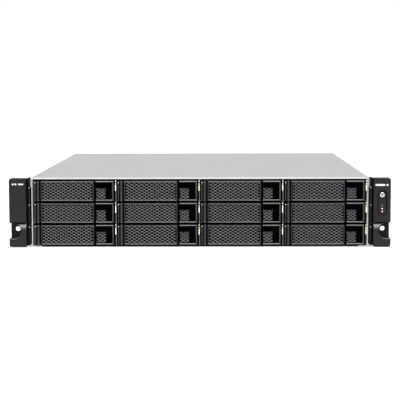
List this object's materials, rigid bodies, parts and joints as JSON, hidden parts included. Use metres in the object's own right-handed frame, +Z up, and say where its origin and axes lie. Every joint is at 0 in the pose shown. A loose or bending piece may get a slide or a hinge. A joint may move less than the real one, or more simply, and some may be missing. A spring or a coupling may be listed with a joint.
{
  "type": "network attached storage",
  "caption": "Rack-mounted network storage unit with hot-swap drive trays behind vented lever handles, a lift-off cover, redundant power modules and rack ears.",
  "frame": {"origin": "on the flat underside, at the middle of the width, in the plane of the ears' back faces, where the unit meets the rack posts", "axes": "+X to the right seen from the front, +Y to the rear of the unit, +Z up"},
  "size_m": [0.4826, 0.5553, 0.088],
  "materials": {
    "galvanised": "zinc-coated sheet, lightly brushed",
    "silver_sheet": "smooth silver-grey coated sheet",
    "black_steel": "matte black powder coat",
    "tray_plastic": "fine-textured charcoal moulding",
    "grille": "fine-textured charcoal moulding with a mesh of openings",
    "latch_plastic": "charcoal moulding with a dimpled thumb face",
    "ear_plastic": "fine-textured near-black moulding",
    "button_metal": "satin metal cap",
    "circuit_board": "green solder mask",
    "fan_plastic": "black glass-filled moulding",
    "aluminium": "extruded, plain",
    "psu_shell": "plated sheet shell",
    "lever_plastic": "green moulding"
  },
  "bodies": {
    "chassis": {"chassis_pan": "galvanised", "front_top_plate": "silver_sheet", "rear_panel": "galvanised", "drive_cage": "galvanised", "left_ear_bracket": "black_steel", "left_ear_bezel": "ear_plastic", "right_ear_bracket": "black_steel", "right_ear_bezel": "ear_plastic", "backplane_board": "circuit_board", "fan_wall": "galvanised", "fan_frame_1": "fan_plastic", "fan_frame_2": "fan_plastic", "motherboard": "circuit_board", "cpu_heatsink": "aluminium", "memory_module": "circuit_board", "psu_cage": "galvanised"},
    "power_button": {"power_button": "button_metal"},
    "rear_cover": {"rear_cover": "silver_sheet"},
    "psu_lower": {"psu_lower": "psu_shell"},
    "psu_lower_lever": {"psu_lower_lever": "lever_plastic"},
    "psu_upper": {"psu_upper": "psu_shell"},
    "psu_upper_lever": {"psu_upper_lever": "lever_plastic"},
    "fan_rotor_1": {"fan_rotor_1": "fan_plastic"},
    "fan_rotor_2": {"fan_rotor_2": "fan_plastic"},
    "tray_r1c1": {"tray_r1c1": "tray_plastic"},
    "handle_r1c1": {"handle_r1c1": "grille"},
    "latch_r1c1": {"latch_r1c1": "latch_plastic"},
    "tray_r1c2": {"tray_r1c2": "tray_plastic"},
    "handle_r1c2": {"handle_r1c2": "grille"},
    "latch_r1c2": {"latch_r1c2": "latch_plastic"},
    "tray_r1c3": {"tray_r1c3": "tray_plastic"},
    "handle_r1c3": {"handle_r1c3": "grille"},
    "latch_r1c3": {"latch_r1c3": "latch_plastic"},
    "tray_r1c4": {"tray_r1c4": "tray_plastic"},
    "handle_r1c4": {"handle_r1c4": "grille"},
    "latch_r1c4": {"latch_r1c4": "latch_plastic"},
    "tray_r2c1": {"tray_r2c1": "tray_plastic"},
    "handle_r2c1": {"handle_r2c1": "grille"},
    "latch_r2c1": {"latch_r2c1": "latch_plastic"},
    "tray_r2c2": {"tray_r2c2": "tray_plastic"},
    "handle_r2c2": {"handle_r2c2": "grille"},
    "latch_r2c2": {"latch_r2c2": "latch_plastic"},
    "tray_r2c3": {"tray_r2c3": "tray_plastic"},
    "handle_r2c3": {"handle_r2c3": "grille"},
    "latch_r2c3": {"latch_r2c3": "latch_plastic"},
    "tray_r2c4": {"tray_r2c4": "tray_plastic"},
    "handle_r2c4": {"handle_r2c4": "grille"},
    "latch_r2c4": {"latch_r2c4": "latch_plastic"},
    "tray_r3c1": {"tray_r3c1": "tray_plastic"},
    "handle_r3c1": {"handle_r3c1": "grille"},
    "latch_r3c1": {"latch_r3c1": "latch_plastic"},
    "tray_r3c2": {"tray_r3c2": "tray_plastic"},
    "handle_r3c2": {"handle_r3c2": "grille"},
    "latch_r3c2": {"latch_r3c2": "latch_plastic"},
    "tray_r3c3": {"tray_r3c3": "tray_plastic"},
    "handle_r3c3": {"handle_r3c3": "grille"},
    "latch_r3c3": {"latch_r3c3": "latch_plastic"},
    "tray_r3c4": {"tray_r3c4": "tray_plastic"},
    "handle_r3c4": {"handle_r3c4": "grille"},
    "latch_r3c4": {"latch_r3c4": "latch_plastic"}
  },
  "joints": [
    {"name": "power_button_press", "type": "slide", "parent": "chassis", "child": "power_button", "axis": [0, 1, 0], "range_m": [0, 0.0015]},
    {"name": "rear_cover_lift", "type": "slide", "parent": "chassis", "child": "rear_cover", "axis": [0, 0, 1], "range_m": [0, 0.15]},
    {"name": "psu_lower_slide", "type": "slide", "parent": "chassis", "child": "psu_lower", "axis": [0, 1, 0], "range_m": [0, 0.21]},
    {"name": "psu_lower_lever_squeeze", "type": "hinge", "parent": "psu_lower", "child": "psu_lower_lever", "pos_m": [0.201, 0.5145, 0.02275], "axis": [0, 0, 1], "range_deg": [0, 14]},
    {"name": "psu_upper_slide", "type": "slide", "parent": "chassis", "child": "psu_upper", "axis": [0, 1, 0], "range_m": [0, 0.21]},
    {"name": "psu_upper_lever_squeeze", "type": "hinge", "parent": "psu_upper", "child": "psu_upper_lever", "pos_m": [0.201, 0.5145, 0.06525], "axis": [0, 0, 1], "range_deg": [0, 14]},
    {"name": "fan_1_spin", "type": "hinge", "parent": "chassis", "child": "fan_rotor_1", "pos_m": [-0.11, 0.19255, 0.0438], "axis": [0, 1, 0], "continuous": true},
    {"name": "fan_2_spin", "type": "hinge", "parent": "chassis", "child": "fan_rotor_2", "pos_m": [0.05, 0.19255, 0.0438], "axis": [0, 1, 0], "continuous": true},
    {"name": "tray_r1c1_slide", "type": "slide", "parent": "chassis", "child": "tray_r1c1", "axis": [0, -1, 0], "range_m": [0, 0.17]},
    {"name": "tray_r1c2_slide", "type": "slide", "parent": "chassis", "child": "tray_r1c2", "axis": [0, -1, 0], "range_m": [0, 0.17]},
    {"name": "tray_r1c3_slide", "type": "slide", "parent": "chassis", "child": "tray_r1c3", "axis": [0, -1, 0], "range_m": [0, 0.17]},
    {"name": "tray_r1c4_slide", "type": "slide", "parent": "chassis", "child": "tray_r1c4", "axis": [0, -1, 0], "range_m": [0, 0.17]},
    {"name": "tray_r2c1_slide", "type": "slide", "parent": "chassis", "child": "tray_r2c1", "axis": [0, -1, 0], "range_m": [0, 0.17]},
    {"name": "tray_r2c2_slide", "type": "slide", "parent": "chassis", "child": "tray_r2c2", "axis": [0, -1, 0], "range_m": [0, 0.17]},
    {"name": "tray_r2c3_slide", "type": "slide", "parent": "chassis", "child": "tray_r2c3", "axis": [0, -1, 0], "range_m": [0, 0.17]},
    {"name": "tray_r2c4_slide", "type": "slide", "parent": "chassis", "child": "tray_r2c4", "axis": [0, -1, 0], "range_m": [0, 0.17]},
    {"name": "tray_r3c1_slide", "type": "slide", "parent": "chassis", "child": "tray_r3c1", "axis": [0, -1, 0], "range_m": [0, 0.17]},
    {"name": "tray_r3c2_slide", "type": "slide", "parent": "chassis", "child": "tray_r3c2", "axis": [0, -1, 0], "range_m": [0, 0.17]},
    {"name": "tray_r3c3_slide", "type": "slide", "parent": "chassis", "child": "tray_r3c3", "axis": [0, -1, 0], "range_m": [0, 0.17]},
    {"name": "tray_r3c4_slide", "type": "slide", "parent": "chassis", "child": "tray_r3c4", "axis": [0, -1, 0], "range_m": [0, 0.17]},
    {"name": "handle_r1c1_swing", "type": "hinge", "parent": "tray_r1c1", "child": "handle_r1c1", "pos_m": [-0.205, -0.012, 0.0709], "axis": [0, 0, -1], "range_deg": [0, 70]},
    {"name": "handle_r1c2_swing", "type": "hinge", "parent": "tray_r1c2", "child": "handle_r1c2", "pos_m": [-0.0992, -0.012, 0.0709], "axis": [0, 0, -1], "range_deg": [0, 70]},
    {"name": "handle_r1c3_swing", "type": "hinge", "parent": "tray_r1c3", "child": "handle_r1c3", "pos_m": [0.0066, -0.012, 0.0709], "axis": [0, 0, -1], "range_deg": [0, 70]},
    {"name": "handle_r1c4_swing", "type": "hinge", "parent": "tray_r1c4", "child": "handle_r1c4", "pos_m": [0.1124, -0.012, 0.0709], "axis": [0, 0, -1], "range_deg": [0, 70]},
    {"name": "handle_r2c1_swing", "type": "hinge", "parent": "tray_r2c1", "child": "handle_r2c1", "pos_m": [-0.205, -0.012, 0.043], "axis": [0, 0, -1], "range_deg": [0, 70]},
    {"name": "handle_r2c2_swing", "type": "hinge", "parent": "tray_r2c2", "child": "handle_r2c2", "pos_m": [-0.0992, -0.012, 0.043], "axis": [0, 0, -1], "range_deg": [0, 70]},
    {"name": "handle_r2c3_swing", "type": "hinge", "parent": "tray_r2c3", "child": "handle_r2c3", "pos_m": [0.0066, -0.012, 0.043], "axis": [0, 0, -1], "range_deg": [0, 70]},
    {"name": "handle_r2c4_swing", "type": "hinge", "parent": "tray_r2c4", "child": "handle_r2c4", "pos_m": [0.1124, -0.012, 0.043], "axis": [0, 0, -1], "range_deg": [0, 70]},
    {"name": "handle_r3c1_swing", "type": "hinge", "parent": "tray_r3c1", "child": "handle_r3c1", "pos_m": [-0.205, -0.012, 0.0151], "axis": [0, 0, -1], "range_deg": [0, 70]},
    {"name": "handle_r3c2_swing", "type": "hinge", "parent": "tray_r3c2", "child": "handle_r3c2", "pos_m": [-0.0992, -0.012, 0.0151], "axis": [0, 0, -1], "range_deg": [0, 70]},
    {"name": "handle_r3c3_swing", "type": "hinge", "parent": "tray_r3c3", "child": "handle_r3c3", "pos_m": [0.0066, -0.012, 0.0151], "axis": [0, 0, -1], "range_deg": [0, 70]},
    {"name": "handle_r3c4_swing", "type": "hinge", "parent": "tray_r3c4", "child": "handle_r3c4", "pos_m": [0.1124, -0.012, 0.0151], "axis": [0, 0, -1], "range_deg": [0, 70]},
    {"name": "latch_r1c1_press", "type": "slide", "parent": "tray_r1c1", "child": "latch_r1c1", "axis": [1, 0, 0], "range_m": [0, 0.004]},
    {"name": "latch_r1c2_press", "type": "slide", "parent": "tray_r1c2", "child": "latch_r1c2", "axis": [1, 0, 0], "range_m": [0, 0.004]},
    {"name": "latch_r1c3_press", "type": "slide", "parent": "tray_r1c3", "child": "latch_r1c3", "axis": [1, 0, 0], "range_m": [0, 0.004]},
    {"name": "latch_r1c4_press", "type": "slide", "parent": "tray_r1c4", "child": "latch_r1c4", "axis": [1, 0, 0], "range_m": [0, 0.004]},
    {"name": "latch_r2c1_press", "type": "slide", "parent": "tray_r2c1", "child": "latch_r2c1", "axis": [1, 0, 0], "range_m": [0, 0.004]},
    {"name": "latch_r2c2_press", "type": "slide", "parent": "tray_r2c2", "child": "latch_r2c2", "axis": [1, 0, 0], "range_m": [0, 0.004]},
    {"name": "latch_r2c3_press", "type": "slide", "parent": "tray_r2c3", "child": "latch_r2c3", "axis": [1, 0, 0], "range_m": [0, 0.004]},
    {"name": "latch_r2c4_press", "type": "slide", "parent": "tray_r2c4", "child": "latch_r2c4", "axis": [1, 0, 0], "range_m": [0, 0.004]},
    {"name": "latch_r3c1_press", "type": "slide", "parent": "tray_r3c1", "child": "latch_r3c1", "axis": [1, 0, 0], "range_m": [0, 0.004]},
    {"name": "latch_r3c2_press", "type": "slide", "parent": "tray_r3c2", "child": "latch_r3c2", "axis": [1, 0, 0], "range_m": [0, 0.004]},
    {"name": "latch_r3c3_press", "type": "slide", "parent": "tray_r3c3", "child": "latch_r3c3", "axis": [1, 0, 0], "range_m": [0, 0.004]},
    {"name": "latch_r3c4_press", "type": "slide", "parent": "tray_r3c4", "child": "latch_r3c4", "axis": [1, 0, 0], "range_m": [0, 0.004]}
  ]
}
